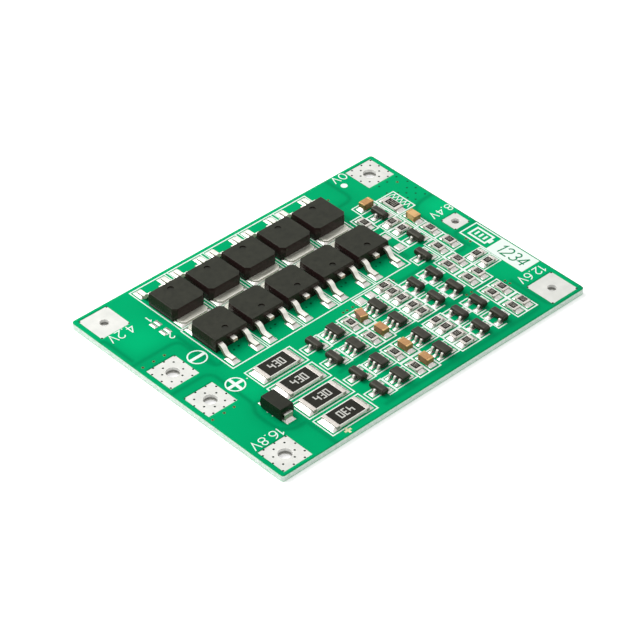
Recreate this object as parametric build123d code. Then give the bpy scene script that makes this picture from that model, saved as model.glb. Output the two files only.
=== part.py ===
from build123d import *
from math import radians, tan
import os

# Battery management board for four cells in series.
# X runs along the long edge, Y along the short edge and Z up through the board.
# The origin is the middle of the underside.

# Board
board_length = 60.0
board_width = 45.0
board_thickness = 1.0
board_corner_radius = 0.5

# Foil and plating of the terminals, let into both faces of the board
foil = 0.05
plating = 0.05

# Terminals
power_pad_size = 5.3
sense_pad_size = 3.1
power_hole_radius = 1.05
tap_hole_radius = 0.7
sense_hole_radius = 0.65
barrel_sides = 12
pad_inset_x = 3.45
corner_pad_inset_y = 3.3
output_pad_pitch = 8.0
output_pads_y = 0.15
sense_pad_inset_x = 2.35
sense_pad_y = 1.75

# Power transistors: two rows, whose tabs face each other
fet_count = 5
fet_pitch = 7.03
rear_row_x = -2.2
rear_row_y = 14.93
front_row_x = -2.3
front_row_y = 5.95
fet_case_width = 6.2
fet_case_length = 5.88
fet_case_height = 2.3
fet_upper_draft = 6.0
fet_lower_draft = 3.0
fet_corner_cut = 0.65
fet_dimple_radius = 0.5
fet_dimple_depth = 0.14
fet_dimple_offset = 1.46
fet_dimple_sides = 24
fet_tab_width = 5.1
fet_tab_reach = 1.22
fet_tab_thickness = 0.5
fet_tab_corner = 0.5
fet_slug_length = 4.6
fet_lead_spacing = 4.56
fet_lead_width = 0.8
fet_lead_thickness = 0.5
fet_lead_height = 1.32
fet_lead_root = 0.6
fet_lead_shoulder = 0.5
fet_lead_slope = 55.0
fet_lead_reach = 2.95
fet_lead_bend = 0.2
fet_stub_reach = 0.8
fet_lead_land_width = 1.5
fet_lead_land_length = 2.0
fet_lead_land_margin = 0.7
fet_tab_land_width = 5.9
fet_tab_land_margin = 0.15

# Balance resistors
balance_count = 4
balance_pitch = 4.7
balance_x = -15.05
balance_first_y = -4.95
balance_length = 6.3
balance_width = 3.2
balance_height = 0.6
balance_cap_length = 0.65
balance_film_length = 4.95
balance_film_width = 2.9
balance_land_length = 1.6
balance_land_width = 3.3
balance_land_margin = 0.75

# Power diode
diode_x = -21.45
diode_y = -12.0
diode_width = 2.6
diode_length = 4.3
diode_height = 2.15
diode_draft = 7.0
diode_lead_width = 1.45
diode_lead_thickness = 0.25
diode_lead_reach = 0.35
diode_foot = 1.2
diode_standoff = 0.1
diode_land_length = 1.6
diode_land_width = 1.7
diode_land_margin = 0.55

# The four channel rows, in two pairs
channel_first_y = -5.3
channel_pitch = 4.2
channel_pair_gap = 0.6

# Three-leg and six-leg chips share a height and a leg; the six-leg case has steeper walls
small_case_height = 1.0
small_lower_draft = 8.0
leg_pitch = 0.95
leg_width = 0.38
leg_thickness = 0.15
leg_slope = 65.0
leg_shoulder = 0.12
leg_standoff = 0.08
tri_case_width = 1.32
tri_case_length = 2.9
tri_case_draft = 16.0
tri_parting = 0.52
tri_leg_span = 2.5
tri_land_width = 0.95
tri_land_length = 1.2
tri_land_margin = 0.4
hex_case_width = 1.5
hex_case_length = 2.76
hex_case_draft = 5.0
hex_parting = 0.64
hex_leg_span = 2.9
hex_land_width = 0.6
hex_land_length = 1.0
hex_land_margin = 0.3
tri_switch_x = -8.1
hex_cell_x = -4.0
hex_guard_x = 4.4
tri_first_x = 12.1
tri_second_x = 15.9
tri_pair_drop = 0.15

# Chip resistors and capacitors
chip_length = 2.0
chip_width = 1.25
chip_height = 0.5
chip_cap_length = 0.4
chip_film_length = 1.15
chip_film_width = 1.05
shunt_length = 3.2
shunt_width = 1.6
shunt_film_length = 2.1
shunt_film_width = 1.35
film_thickness = 0.03
cap_wall = 0.03
capacitor_height = 1.1
capacitor_cap_length = 0.35
chip_land_length = 1.1
chip_land_width = 1.35
chip_land_margin = 0.6
bar_column_x = 8.5
bar_upper_offset = 1.05
bar_lower_offset = -0.9
post_near_x = -0.87
post_far_x = 19.0
post_pitch = 2.05
capacitor_column_x = 1.2
crooked_turn = -14.0
along_y = 90

# The sensing group by the right edge: an inner and an outer column, and the parts beside them
sense_inner_x = 20.2
sense_outer_x = 23.4
sense_capacitor_y = 13.4
sense_upper_tri_y = 10.45
sense_bar_upper_y = 7.8
sense_bar_lower_y = 5.65
sense_lower_tri_y = 2.8
sense_shunt_y = 11.0
sense_outer_capacitor_y = 6.5
sense_post_y = 2.8
sense_hidden_post_x = 17.0
sense_hidden_post_y = 10.4
gate_tri_x = 17.85
gate_row_y = -1.2
gate_post_x = 21.05
label_bar_x = 24.0
label_bar_upper_y = -6.3
label_bar_pitch = 2.3
top_bar_y = -2.4

# Places left empty: their lands only
empty_bar_x = 4.9
empty_bar_spacing = 2.0
empty_post_y = 4.4
empty_post_spacing = 3.05

# Solder jumpers
jumper_x = -21.45
jumper_first_y = 13.8
jumper_pitch = 2.15
jumper_width = 0.65
jumper_length = 1.3
jumper_gap = 0.2

board_top = board_thickness
land_top = board_top + foil
left_edge = -board_length / 2
right_edge = board_length / 2
front_edge = -board_width / 2
rear_edge = board_width / 2

channels = [
    channel_first_y - channel_pitch * row - channel_pair_gap * (row // 2)
    for row in range(4)
]

# Each terminal: name, centre, pad size and hole radius
left_pads_x = left_edge + pad_inset_x
right_pads_x = right_edge - pad_inset_x
rear_pads_y = rear_edge - corner_pad_inset_y
front_pads_y = front_edge + corner_pad_inset_y
minus_pad_y = output_pads_y + output_pad_pitch / 2
plus_pad_y = output_pads_y - output_pad_pitch / 2
sense_pad_x = right_edge - sense_pad_inset_x
terminals = [
    ("terminal_4v2", left_pads_x, rear_pads_y, power_pad_size, tap_hole_radius),
    ("terminal_minus", left_pads_x, minus_pad_y, power_pad_size, power_hole_radius),
    ("terminal_plus", left_pads_x, plus_pad_y, power_pad_size, power_hole_radius),
    ("terminal_16v8", left_pads_x, front_pads_y, power_pad_size, power_hole_radius),
    ("terminal_0v", right_pads_x, rear_pads_y, power_pad_size, power_hole_radius),
    ("terminal_8v4", sense_pad_x, sense_pad_y, sense_pad_size, sense_hole_radius),
    ("terminal_12v6", right_pads_x, front_pads_y, power_pad_size, tap_hole_radius),
]

# Places are the centre on the board and a turn about Z in degrees.
# Three-leg chips: with no turn the single leg points along -X.
three_leg_places = (
    [(tri_switch_x, y, 0) for y in channels]
    + [(x, y - tri_pair_drop, 180) for x in (tri_first_x, tri_second_x) for y in channels]
    + [(sense_inner_x, y, 0) for y in (sense_upper_tri_y, sense_lower_tri_y)]
    + [(gate_tri_x, gate_row_y, 0)]
)
six_leg_places = [(x, y, 0) for x in (hex_cell_x, hex_guard_x) for y in channels]

# Chips lie along X with no turn and along Y with a quarter turn.
resistor_places = (
    [(post_near_x, y, along_y) for y in channels]
    + [(post_far_x + post_pitch * column, y, along_y) for column in range(2) for y in channels]
    + [(bar_column_x, y + offset, 0) for y in channels for offset in (bar_upper_offset, bar_lower_offset)]
    + [(bar_column_x, top_bar_y, 0)]
    + [(label_bar_x, label_bar_upper_y - label_bar_pitch * row, 0) for row in range(2)]
    + [(sense_inner_x, y, 0) for y in (sense_bar_upper_y, sense_bar_lower_y)]
    + [(x, gate_row_y, along_y) for x in (gate_post_x, sense_outer_x)]
    + [(sense_outer_x, sense_post_y, along_y), (sense_hidden_post_x, sense_hidden_post_y, along_y)]
)
shunt_place = (sense_outer_x, sense_shunt_y, along_y)
capacitor_places = (
    [(capacitor_column_x, channels[0], along_y + crooked_turn)]
    + [(capacitor_column_x, y, along_y) for y in channels[1:]]
    + [(sense_outer_x, sense_outer_capacitor_y, along_y), (sense_inner_x, sense_capacitor_y, 0)]
)


def slab(x_size, y_size, z_size, x=0.0, y=0.0, bottom=0.0):
    """A plain block whose underside is at the given height."""
    return Pos(x, y, bottom + z_size / 2) * Box(x_size, y_size, z_size)


def placed(solids, places, height=0.0):
    """Copies of the solids at each place, as one group of separate solids."""
    copies = [Pos(x, y, height) * Rot(0, 0, turn) * solid for x, y, turn in places for solid in solids]
    return Compound(children=copies)


def grouped(*groups):
    """Several groups of solids as one."""
    return Compound(children=[solid for group in groups for solid in group.solids()])


def drafted_case(outline, height, parting, upper_draft, lower_draft):
    """A moulded case: both halves narrow away from the parting plane."""
    middle = Pos(0, 0, parting) * outline
    upper = extrude(middle, amount=height - parting, taper=upper_draft)
    lower = extrude(middle, amount=parting, dir=(0, 0, -1), taper=lower_draft)
    return (upper + lower).solid()


def bent_lead(root, shoulder, slope, tip, height, thickness, width, bend=0.0):
    """A strip that leaves along +X, drops at the slope angle and ends in a flat foot at Z zero."""
    mitre = thickness * tan(radians(slope / 2))
    drop = (height - thickness / 2) / tan(radians(slope))
    under_knee = (shoulder, height - thickness / 2)
    heel = (shoulder + drop, 0)
    over_knee = (shoulder + mitre, height + thickness / 2)
    instep = (shoulder + drop + mitre, thickness)
    outline = [
        (root, height + thickness / 2), over_knee, instep, (tip, thickness),
        (tip, 0), heel, under_knee, (root, height - thickness / 2),
    ]
    profile = make_face(Polyline(*outline, close=True))
    if bend:
        corners = profile.vertices()
        inner = [corners.sort_by_distance(point)[0] for point in (instep, under_knee)]
        profile = chamfer(inner, bend)
        corners = profile.vertices()
        outer = [corners.sort_by_distance(point)[0] for point in (over_knee, heel)]
        profile = chamfer(outer, bend + mitre / 2)
    strip = extrude(Plane.XZ * profile, amount=width / 2, both=True)
    return strip.solid()


# Circuit board

def barrel_blank(x, y, hole):
    """The plated wall's outside: round on the real board, and here a prism that the board hides."""
    outline = RegularPolygon(hole + plating, barrel_sides, major_radius=False)
    return Pos(x, y, 0) * extrude(outline, amount=board_thickness)


def circuit_board():
    """The laminate with a drilled hole and a mask opening on both faces for each terminal."""
    outline = RectangleRounded(board_length, board_width, board_corner_radius)
    board = extrude(outline, amount=board_thickness)
    for _, x, y, size, hole in terminals:
        board -= barrel_blank(x, y, hole)
        board -= slab(size, size, foil, x, y, 0)
        board -= slab(size, size, foil, x, y, board_top - foil)
    return board.solid()


def terminal(x, y, size, hole):
    """Two square pads joined by the plated wall of the hole, flush with both faces."""
    wall = barrel_blank(x, y, hole)
    pads = slab(size, size, foil, x, y, 0) + slab(size, size, foil, x, y, board_top - foil)
    bore = Pos(x, y, board_thickness / 2) * Cylinder(hole, board_thickness)
    return (wall + pads - bore).solid()


# Power transistors, leads along -Y and tab along +Y, seated at Z zero

def fet_leadframe():
    """The slug with its tab, two bent leads and the cut middle stub."""
    case_front = -fet_case_length / 2
    case_rear = fet_case_length / 2
    slug_length = fet_slug_length + fet_tab_reach
    slug_outline = Pos(0, case_rear + fet_tab_reach - slug_length / 2) * Rectangle(fet_tab_width, slug_length)
    outer_corners = slug_outline.vertices().sort_by(Axis.Y)[-2:]
    slug_outline = chamfer(outer_corners, fet_tab_corner)
    slug = extrude(slug_outline, amount=fet_tab_thickness).solid()
    lead = bent_lead(
        -fet_lead_root, fet_lead_shoulder, fet_lead_slope, fet_lead_reach,
        fet_lead_height, fet_lead_thickness, fet_lead_width, fet_lead_bend,
    )
    leads = [
        Pos(side * fet_lead_spacing / 2, case_front, 0) * Rot(0, 0, -90) * lead
        for side in (-1, 1)
    ]
    stub_length = fet_lead_root + fet_stub_reach
    stub = slab(
        fet_lead_width, stub_length, fet_lead_thickness,
        0, case_front + fet_lead_root - stub_length / 2, fet_lead_height - fet_lead_thickness / 2,
    )
    return [slug, *leads, stub.solid()]


def fet_case(leadframe):
    """The moulded block, cut to fit round its leadframe, with the round mark of the ejector pin."""
    outline = Rectangle(fet_case_width, fet_case_length)
    tab_corners = outline.vertices().sort_by(Axis.Y)[-2:]
    outline = chamfer(tab_corners, fet_corner_cut)
    case = drafted_case(outline, fet_case_height, fet_lead_height, fet_upper_draft, fet_lower_draft)
    dimple_y = -fet_case_length / 2 + fet_dimple_offset
    dimple = Pos(0, dimple_y, fet_case_height) * RegularPolygon(fet_dimple_radius, fet_dimple_sides)
    case -= extrude(dimple, amount=-fet_dimple_depth)
    for metal in leadframe:
        case -= metal
    return case.solid()


def fet_lands():
    """The two lead lands and the large tab land of one transistor."""
    lead_tip = -fet_case_length / 2 - fet_lead_reach
    lead_land_y = lead_tip - fet_lead_land_margin + fet_lead_land_length / 2
    lead_lands = [
        slab(fet_lead_land_width, fet_lead_land_length, foil, side * fet_lead_spacing / 2, lead_land_y)
        for side in (-1, 1)
    ]
    tab_land_end = fet_case_length / 2 + fet_tab_reach + fet_tab_land_margin
    tab_land_length = fet_slug_length + fet_tab_reach + fet_tab_land_margin
    tab_land = slab(fet_tab_land_width, tab_land_length, foil, 0, tab_land_end - tab_land_length / 2)
    return [*lead_lands, tab_land]


def fet_places():
    """Name and place of each power transistor; the rear row is turned so that the tabs face."""
    rows = [("rear", rear_row_x, rear_row_y, 180), ("front", front_row_x, front_row_y, 0)]
    middle = (fet_count - 1) / 2
    return [
        (f"fet_{row}_{number + 1}", x + (number - middle) * fet_pitch, y, turn)
        for row, x, y, turn in rows
        for number in range(fet_count)
    ]


# Film resistors

def film_resistor(length, width, height, cap_length, film_length, film_width):
    """Ceramic core, black film on top, and two caps wrapped round the ends."""
    core_bottom = cap_wall
    core_length = length - 2 * cap_wall
    core_height = height - 2 * cap_wall
    core = slab(core_length, width, core_height, 0, 0, core_bottom)
    film = slab(film_length, film_width, film_thickness, 0, 0, core_bottom + core_height)
    caps = []
    for side in (-1, 1):
        block = slab(cap_length, width, height, side * (length - cap_length) / 2)
        caps.append((block - core).solid())
    return core, film, caps


def end_lands(length, land_length, land_width, margin):
    """Two lands that reach past the ends of a chip."""
    centre = length / 2 + margin - land_length / 2
    return [slab(land_length, land_width, foil, side * centre, 0) for side in (-1, 1)]


# Power diode, along Y, seated at Z zero

def diode_leads():
    """Two straps that leave at mid height, run down the ends and turn in under the case."""
    half = diode_length / 2
    level = diode_height / 2
    reach = half + diode_lead_reach
    profile_points = [
        (half - diode_lead_reach, level + diode_lead_thickness / 2),
        (reach, level + diode_lead_thickness / 2),
        (reach, 0),
        (reach - diode_foot, 0),
        (reach - diode_foot, diode_standoff),
        (reach - diode_lead_thickness, diode_standoff),
        (reach - diode_lead_thickness, level - diode_lead_thickness / 2),
        (half - diode_lead_reach, level - diode_lead_thickness / 2),
    ]
    profile = make_face(Polyline(*profile_points, close=True))
    strap = extrude(Plane.XZ * profile, amount=diode_lead_width / 2, both=True)
    return [(Rot(0, 0, turn) * strap).solid() for turn in (90, -90)]


def diode_case(leads):
    """The moulded block, held a little off the board by its straps."""
    outline = Rectangle(diode_width, diode_length)
    height = diode_height - diode_standoff
    block = drafted_case(outline, height, height / 2, diode_draft, diode_draft)
    case = Pos(0, 0, diode_standoff) * block
    for strap in leads:
        case -= strap
    return case.solid()


# Three-leg and six-leg chips, seated at Z zero

def small_case(width, length, parting, draft):
    """A small drafted case above its standoff; its legs meet it at the parting edge."""
    outline = Rectangle(width, length)
    case = drafted_case(outline, small_case_height, parting, draft, small_lower_draft)
    return Pos(0, 0, leg_standoff) * case


def small_legs(width, span, parting, left_rows, right_rows):
    """Bent legs; the rows are counted in leg pitches from the middle."""
    leg = bent_lead(
        0, leg_shoulder, leg_slope, (span - width) / 2,
        leg_standoff + parting, leg_thickness, leg_width,
    )
    right = [Pos(width / 2, row * leg_pitch, 0) * leg for row in right_rows]
    left = [Pos(-width / 2, row * leg_pitch, 0) * Rot(0, 0, 180) * leg for row in left_rows]
    return left + right


def leg_lands(span, left_rows, right_rows, land_length, land_width, margin):
    """A land under the foot of each leg."""
    centre = span / 2 + margin - land_length / 2
    right = [slab(land_length, land_width, foil, centre, row * leg_pitch) for row in right_rows]
    left = [slab(land_length, land_width, foil, -centre, row * leg_pitch) for row in left_rows]
    return left + right


def spare_lands():
    """The lands of the two places that were left empty."""
    bar = [slab(chip_land_width, chip_land_width, foil, side * empty_bar_spacing / 2) for side in (-1, 1)]
    post = [slab(chip_land_width, chip_land_width, foil, side * empty_post_spacing / 2) for side in (-1, 1)]
    return grouped(
        placed(bar, [(empty_bar_x, top_bar_y, 0)], board_top),
        placed(post, [(sense_hidden_post_x, empty_post_y, along_y)], board_top),
    )


def jumper_pads():
    """Two solder jumpers, each a pair of narrow pads with a slit between."""
    centre = (jumper_gap + jumper_width) / 2
    pair = [slab(jumper_width, jumper_length, foil, side * centre) for side in (-1, 1)]
    places = [(jumper_x, jumper_first_y - jumper_pitch * row, 0) for row in range(2)]
    return placed(pair, places, board_top)


def build_all():
    """Every node by name."""
    nodes = {"circuit_board": circuit_board()}
    for name, x, y, size, hole in terminals:
        nodes[name] = terminal(x, y, size, hole)

    leadframe = fet_leadframe()
    case = fet_case(leadframe)
    fets = fet_places()
    for name, *place in fets:
        nodes[f"{name}_case"] = placed([case], [place], land_top)
        nodes[f"{name}_leadframe"] = placed(leadframe, [place], land_top)

    balance = film_resistor(
        balance_length, balance_width, balance_height, balance_cap_length,
        balance_film_length, balance_film_width,
    )
    balance_core, balance_film, balance_caps = balance
    balance_places = [(balance_x, balance_first_y - balance_pitch * row, 0) for row in range(balance_count)]
    for number, place in enumerate(balance_places, start=1):
        nodes[f"balance_resistor_{number}_core"] = placed([balance_core], [place], land_top)
        nodes[f"balance_resistor_{number}_film"] = placed([balance_film], [place], land_top)
    nodes["balance_resistor_end_caps"] = placed(balance_caps, balance_places, land_top)

    straps = diode_leads()
    diode_place = [(diode_x, diode_y, 0)]
    nodes["diode_case"] = placed([diode_case(straps)], diode_place, land_top)
    nodes["diode_leads"] = placed(straps, diode_place, land_top)

    one_row, two_rows, three_rows = (0,), (-1, 1), (-1, 0, 1)
    tri_case = small_case(tri_case_width, tri_case_length, tri_parting, tri_case_draft)
    tri_legs = small_legs(tri_case_width, tri_leg_span, tri_parting, one_row, two_rows)
    nodes["three_leg_cases"] = placed([tri_case], three_leg_places, land_top)
    nodes["three_leg_legs"] = placed(tri_legs, three_leg_places, land_top)
    hex_case = small_case(hex_case_width, hex_case_length, hex_parting, hex_case_draft)
    hex_legs = small_legs(hex_case_width, hex_leg_span, hex_parting, three_rows, three_rows)
    nodes["six_leg_cases"] = placed([hex_case], six_leg_places, land_top)
    nodes["six_leg_legs"] = placed(hex_legs, six_leg_places, land_top)

    chip = film_resistor(
        chip_length, chip_width, chip_height, chip_cap_length, chip_film_length, chip_film_width
    )
    chip_core, chip_film, chip_caps = chip
    nodes["chip_resistor_cores"] = placed([chip_core], resistor_places, land_top)
    nodes["chip_resistor_films"] = placed([chip_film], resistor_places, land_top)
    nodes["chip_resistor_end_caps"] = placed(chip_caps, resistor_places, land_top)
    shunt = film_resistor(
        shunt_length, shunt_width, chip_height, chip_cap_length, shunt_film_length, shunt_film_width
    )
    shunt_core, shunt_film, shunt_caps = shunt
    nodes["large_resistor_core"] = placed([shunt_core], [shunt_place], land_top)
    nodes["large_resistor_film"] = placed([shunt_film], [shunt_place], land_top)
    nodes["large_resistor_end_caps"] = placed(shunt_caps, [shunt_place], land_top)

    body_length = chip_length - 2 * capacitor_cap_length
    body = slab(body_length, chip_width, capacitor_height)
    end_x = (chip_length - capacitor_cap_length) / 2
    ends = [slab(capacitor_cap_length, chip_width, capacitor_height, side * end_x) for side in (-1, 1)]
    nodes["capacitor_bodies"] = placed([body], capacitor_places, land_top)
    nodes["capacitor_end_caps"] = placed(ends, capacitor_places, land_top)

    power_lands = placed(fet_lands(), [place for _, *place in fets], board_top)
    nodes["fet_lands"] = power_lands
    nodes["balance_resistor_lands"] = placed(
        end_lands(balance_length, balance_land_length, balance_land_width, balance_land_margin),
        balance_places, board_top,
    )
    diode_span = diode_length + 2 * diode_lead_reach
    diode_pair = end_lands(diode_span, diode_land_length, diode_land_width, diode_land_margin)
    nodes["diode_lands"] = placed(diode_pair, [(diode_x, diode_y, 90)], board_top)
    tri_land = (tri_land_length, tri_land_width, tri_land_margin)
    hex_land = (hex_land_length, hex_land_width, hex_land_margin)
    tri_lands = leg_lands(tri_leg_span, one_row, two_rows, *tri_land)
    hex_lands = leg_lands(hex_leg_span, three_rows, three_rows, *hex_land)
    nodes["leg_lands"] = grouped(
        placed(tri_lands, three_leg_places, board_top),
        placed(hex_lands, six_leg_places, board_top),
    )
    chip_lands = end_lands(chip_length, chip_land_length, chip_land_width, chip_land_margin)
    shunt_lands = end_lands(shunt_length, chip_land_length, shunt_width, chip_land_margin)
    square_places = [(x, y, round(turn / along_y) * along_y) for x, y, turn in capacitor_places]
    nodes["chip_lands"] = grouped(
        placed(chip_lands, [*resistor_places, *square_places], board_top),
        placed(shunt_lands, [shunt_place], board_top),
    )
    nodes["spare_lands"] = spare_lands()
    nodes["jumper_pads"] = jumper_pads()
    return nodes


os.makedirs("parts", exist_ok=True)
for node, shape in build_all().items():
    export_step(shape, f"parts/{node}.step")
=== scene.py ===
# %% [markdown]
# # A battery management board for four cells
# The board is a sheet of green laminate, 60 mm long, with power transistors, resistors and small
# chips soldered to its upper face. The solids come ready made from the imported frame, so this
# lesson only adds what they lack: the coat of solder mask, white print, solder, plated holes,
# softened edges and finishes. Lengths are in millimetres until a mesh is made.

import math

import bmesh
import bpy
import numpy as np
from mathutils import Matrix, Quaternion, Vector


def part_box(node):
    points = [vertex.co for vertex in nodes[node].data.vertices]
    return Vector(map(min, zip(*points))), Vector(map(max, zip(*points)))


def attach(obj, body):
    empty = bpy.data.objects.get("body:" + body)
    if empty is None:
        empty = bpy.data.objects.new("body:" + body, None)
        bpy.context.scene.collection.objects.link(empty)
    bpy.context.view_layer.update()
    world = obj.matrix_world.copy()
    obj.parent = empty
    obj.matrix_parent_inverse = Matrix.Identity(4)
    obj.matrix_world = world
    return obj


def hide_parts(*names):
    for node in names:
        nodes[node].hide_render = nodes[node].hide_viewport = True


MM = 0.001
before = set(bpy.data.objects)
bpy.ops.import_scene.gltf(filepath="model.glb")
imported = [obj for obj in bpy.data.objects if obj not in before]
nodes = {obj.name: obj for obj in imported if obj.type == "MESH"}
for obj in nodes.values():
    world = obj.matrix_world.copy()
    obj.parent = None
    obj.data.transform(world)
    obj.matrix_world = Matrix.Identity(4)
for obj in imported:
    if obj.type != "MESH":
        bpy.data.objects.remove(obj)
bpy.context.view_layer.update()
print("CAD nodes:", len(nodes))


# %% [markdown]
# The photograph was taken with a long lens from the left front, about 39 degrees above the
# board. The four corners of the board were enough to solve for the camera, so its numbers are
# written here as an angle, a distance and a focal length in pixels of a 640 pixel frame.

# %% Camera
def millimetres(node):
    """The two corners of a node's box, in millimetres."""
    return [np.array(corner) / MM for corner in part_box(node)]


board_low, board_high = millimetres("circuit_board")
board_top = board_high[2]
photo_pixels = 640
focal_pixels = 2802
sensor_width = 36.0
camera_azimuth = -43.399
camera_elevation = 39.309
camera_roll = 0.291
camera_distance = 403.95
camera_target = (-3.408, -1.515)


def direction(azimuth, elevation):
    """Unit vector towards an azimuth, counted from the front to the right, and an elevation."""
    a, e = math.radians(azimuth), math.radians(elevation)
    return Vector((math.sin(a) * math.cos(e), -math.cos(a) * math.cos(e), math.sin(e)))


scene = bpy.context.scene
lens = bpy.data.cameras.new("photo_camera")
lens.sensor_width = sensor_width
lens.lens = focal_pixels / photo_pixels * sensor_width
lens.clip_start = 0.01
camera = bpy.data.objects.new("photo_camera", lens)
back = direction(camera_azimuth, camera_elevation)
camera.location = (Vector((*camera_target, board_top)) + back * camera_distance) * MM
upright = back.to_track_quat("Z", "Y")
camera.rotation_euler = (upright @ Quaternion((0, 0, 1), math.radians(camera_roll))).to_euler()
scene.collection.objects.link(camera)
scene.camera = camera
scene.view_settings.view_transform = "Standard"
print("lens", round(lens.lens, 1), "mm")


# %% [markdown]
# Light and finishes are both built from shader nodes. A handful of short helpers makes the
# wiring readable: each makes one node, links what is a socket, sets what is a plain value and
# hands back the output, so that a chain of effects reads like a sum.

# %% Small helpers for shader nodes
def add(tree, kind, **settings):
    """A new node in a tree with the given settings."""
    node = tree.nodes.new(kind)
    for name, value in settings.items():
        setattr(node, name, value)
    return node


def fill(tree, sockets, sources):
    """Links each source that is a socket to its input; anything else is a plain value."""
    for socket, source in zip(sockets, sources):
        if isinstance(source, bpy.types.NodeSocket):
            tree.links.new(source, socket)
        else:
            socket.default_value = source


def feed(tree, node, **sources):
    """Fills a node's inputs by name."""
    fill(tree, [node.inputs[name.replace("_", " ")] for name in sources], sources.values())
    return node


def arithmetic(tree, operation, *values):
    """The result of one sum on values or sockets."""
    node = add(tree, "ShaderNodeMath", operation=operation)
    fill(tree, node.inputs, values)
    return node.outputs[0]


def blended(tree, share, low, high):
    """A colour that runs from low to high with the share."""
    node = add(tree, "ShaderNodeMix", data_type="RGBA")
    fill(tree, (node.inputs[0], node.inputs[6], node.inputs[7]), (share, low, high))
    return node.outputs[2]


def step(tree, value, low, high):
    """Nought below low, one above high, and a smooth rise between."""
    node = add(tree, "ShaderNodeMapRange", interpolation_type="SMOOTHSTEP")
    return feed(tree, node, Value=value, From_Min=low, From_Max=high).outputs[0]


def between(tree, share, low, high):
    """A value that runs evenly from low to high with the share."""
    return feed(tree, add(tree, "ShaderNodeMapRange"), Value=share, To_Min=low, To_Max=high).outputs[0]


def upward(tree, vector):
    """The z of a vector."""
    return feed(tree, add(tree, "ShaderNodeSeparateXYZ"), Vector=vector).outputs["Z"]


def in_object(tree):
    """Object coordinates, which stay with the board."""
    return add(tree, "ShaderNodeTexCoord").outputs["Object"]


def surface(tree, **sources):
    """Fills inputs of the material's own shader, and returns it."""
    return feed(tree, tree.nodes["Principled BSDF"], **sources)


def any_ray(tree, *kinds):
    """One on rays of any of the kinds, nought on the rest."""
    path, found = add(tree, "ShaderNodeLightPath"), 0.0
    for kind in kinds:
        found = arithmetic(tree, "MAXIMUM", found, path.outputs[f"Is {kind} Ray"])
    return found


def material(name):
    """A new material and its node tree."""
    made = bpy.data.materials.new(name)
    made.use_nodes = True
    return made, made.node_tree


def paint(red, green, blue):
    """A display colour, 0 to 255, as the linear colour that shaders work in."""
    shown = np.array([red, green, blue]) / 255
    linear = np.where(shown <= 0.04045, shown / 12.92, ((shown + 0.055) / 1.055) ** 2.4)
    return (*linear.tolist(), 1.0)


# %% [markdown]
# A catalogue picture on white is lit by a wide soft box overhead and a pale room. The sky gives
# the even part of the light, and it is dimmer on the camera's side, as a studio is behind the
# photographer. The soft box hangs at the rear, so that shade gathers before the tall parts and
# the flat tops don't mirror it. What shiny faces mirror is set apart from what lights the board,
# so that metal can look bright without flattening the shade.

# %% Light
sky_light = 0.53
sky_shown = 1.0
dim_light = 0.05
dim_shown = 0.72
dark_azimuth = -60.0
dark_elevation = 5.0
dark_from, dark_to = 0.35, 0.95
lamp_power = 1.85
lamp_size = 0.40
lamp_place = (-0.10, 0.285, 0.33)

world = bpy.data.worlds.new("studio")
world.use_nodes = True
scene.world = world
tree = world.node_tree
sky = tree.nodes["Background"]
looking = add(tree, "ShaderNodeTexCoord").outputs["Generated"]
towards_dark = add(tree, "ShaderNodeVectorMath", operation="DOT_PRODUCT")
fill(tree, towards_dark.inputs, (looking, direction(dark_azimuth, dark_elevation)))
mirrored = any_ray(tree, "Glossy")
full = between(tree, mirrored, sky_light, sky_shown)
dim = between(tree, mirrored, dim_light, dim_shown)
turned_away = step(tree, towards_dark.outputs["Value"], dark_from, dark_to)
darkness = arithmetic(tree, "MULTIPLY", turned_away, dim)
room = arithmetic(tree, "MULTIPLY", full, arithmetic(tree, "SUBTRACT", 1.0, darkness))
strength = add(tree, "ShaderNodeMix", data_type="FLOAT")
feed(tree, strength, Factor=any_ray(tree, "Camera", "Transmission"), A=room, B=1.0)
feed(tree, sky, Color=(1.0, 1.0, 1.0, 1.0), Strength=strength.outputs[0])

lamp_data = bpy.data.lights.new("soft_box", "AREA")
lamp_data.shape = "SQUARE"
lamp_data.size = lamp_size
lamp_data.energy = lamp_power
lamp = bpy.data.objects.new("soft_box", lamp_data)
lamp.location = lamp_place
lamp.rotation_euler = Vector(lamp_place).to_track_quat("Z", "Y").to_euler()
scene.collection.objects.link(lamp)
print("sky", sky_light, "lamp", lamp_power, "W")


# %% [markdown]
# Every new piece here is a surface worked out as arrays, as hundreds of small alike shapes are
# quicker to place by sums than by modelling steps. Points are rows of x, y, z, and faces are rows
# of four point numbers, where -1 in the last place marks a triangle. One function turns such a
# pair into a piece that rides on the board.

# %% Arrays into pieces
def grid_faces(rows, columns, wrap=False):
    """Quads over a grid of points numbered row by row; wrap joins the last column to the first."""
    row, column = np.meshgrid(
        np.arange(rows - 1), np.arange(columns if wrap else columns - 1), indexing="ij"
    )
    after = (column + 1) % columns
    corners = [row * columns + column, row * columns + after]
    corners += [(row + 1) * columns + after, (row + 1) * columns + column]
    return np.stack(corners, -1).reshape(-1, 4)


def joined(shapes):
    """Several shapes as one: each shape's face numbers move on by the points before it."""
    starts = np.cumsum([0] + [len(points) for points, _ in shapes[:-1]])
    points = np.concatenate([points for points, _ in shapes])
    faces = [np.where(faces >= 0, faces + start, -1) for (_, faces), start in zip(shapes, starts)]
    return points, np.concatenate(faces)


def on_board(name, mesh, finishes, stands_for):
    """A mesh as a piece that rides on the board, in finishes given by name, for some CAD nodes."""
    for one in finishes:
        mesh.materials.append(bpy.data.materials[one])
    made = bpy.data.objects.new(name, mesh)
    scene.collection.objects.link(made)
    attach(made, "root")
    if stands_for:
        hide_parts(*stands_for)
    return made


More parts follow.
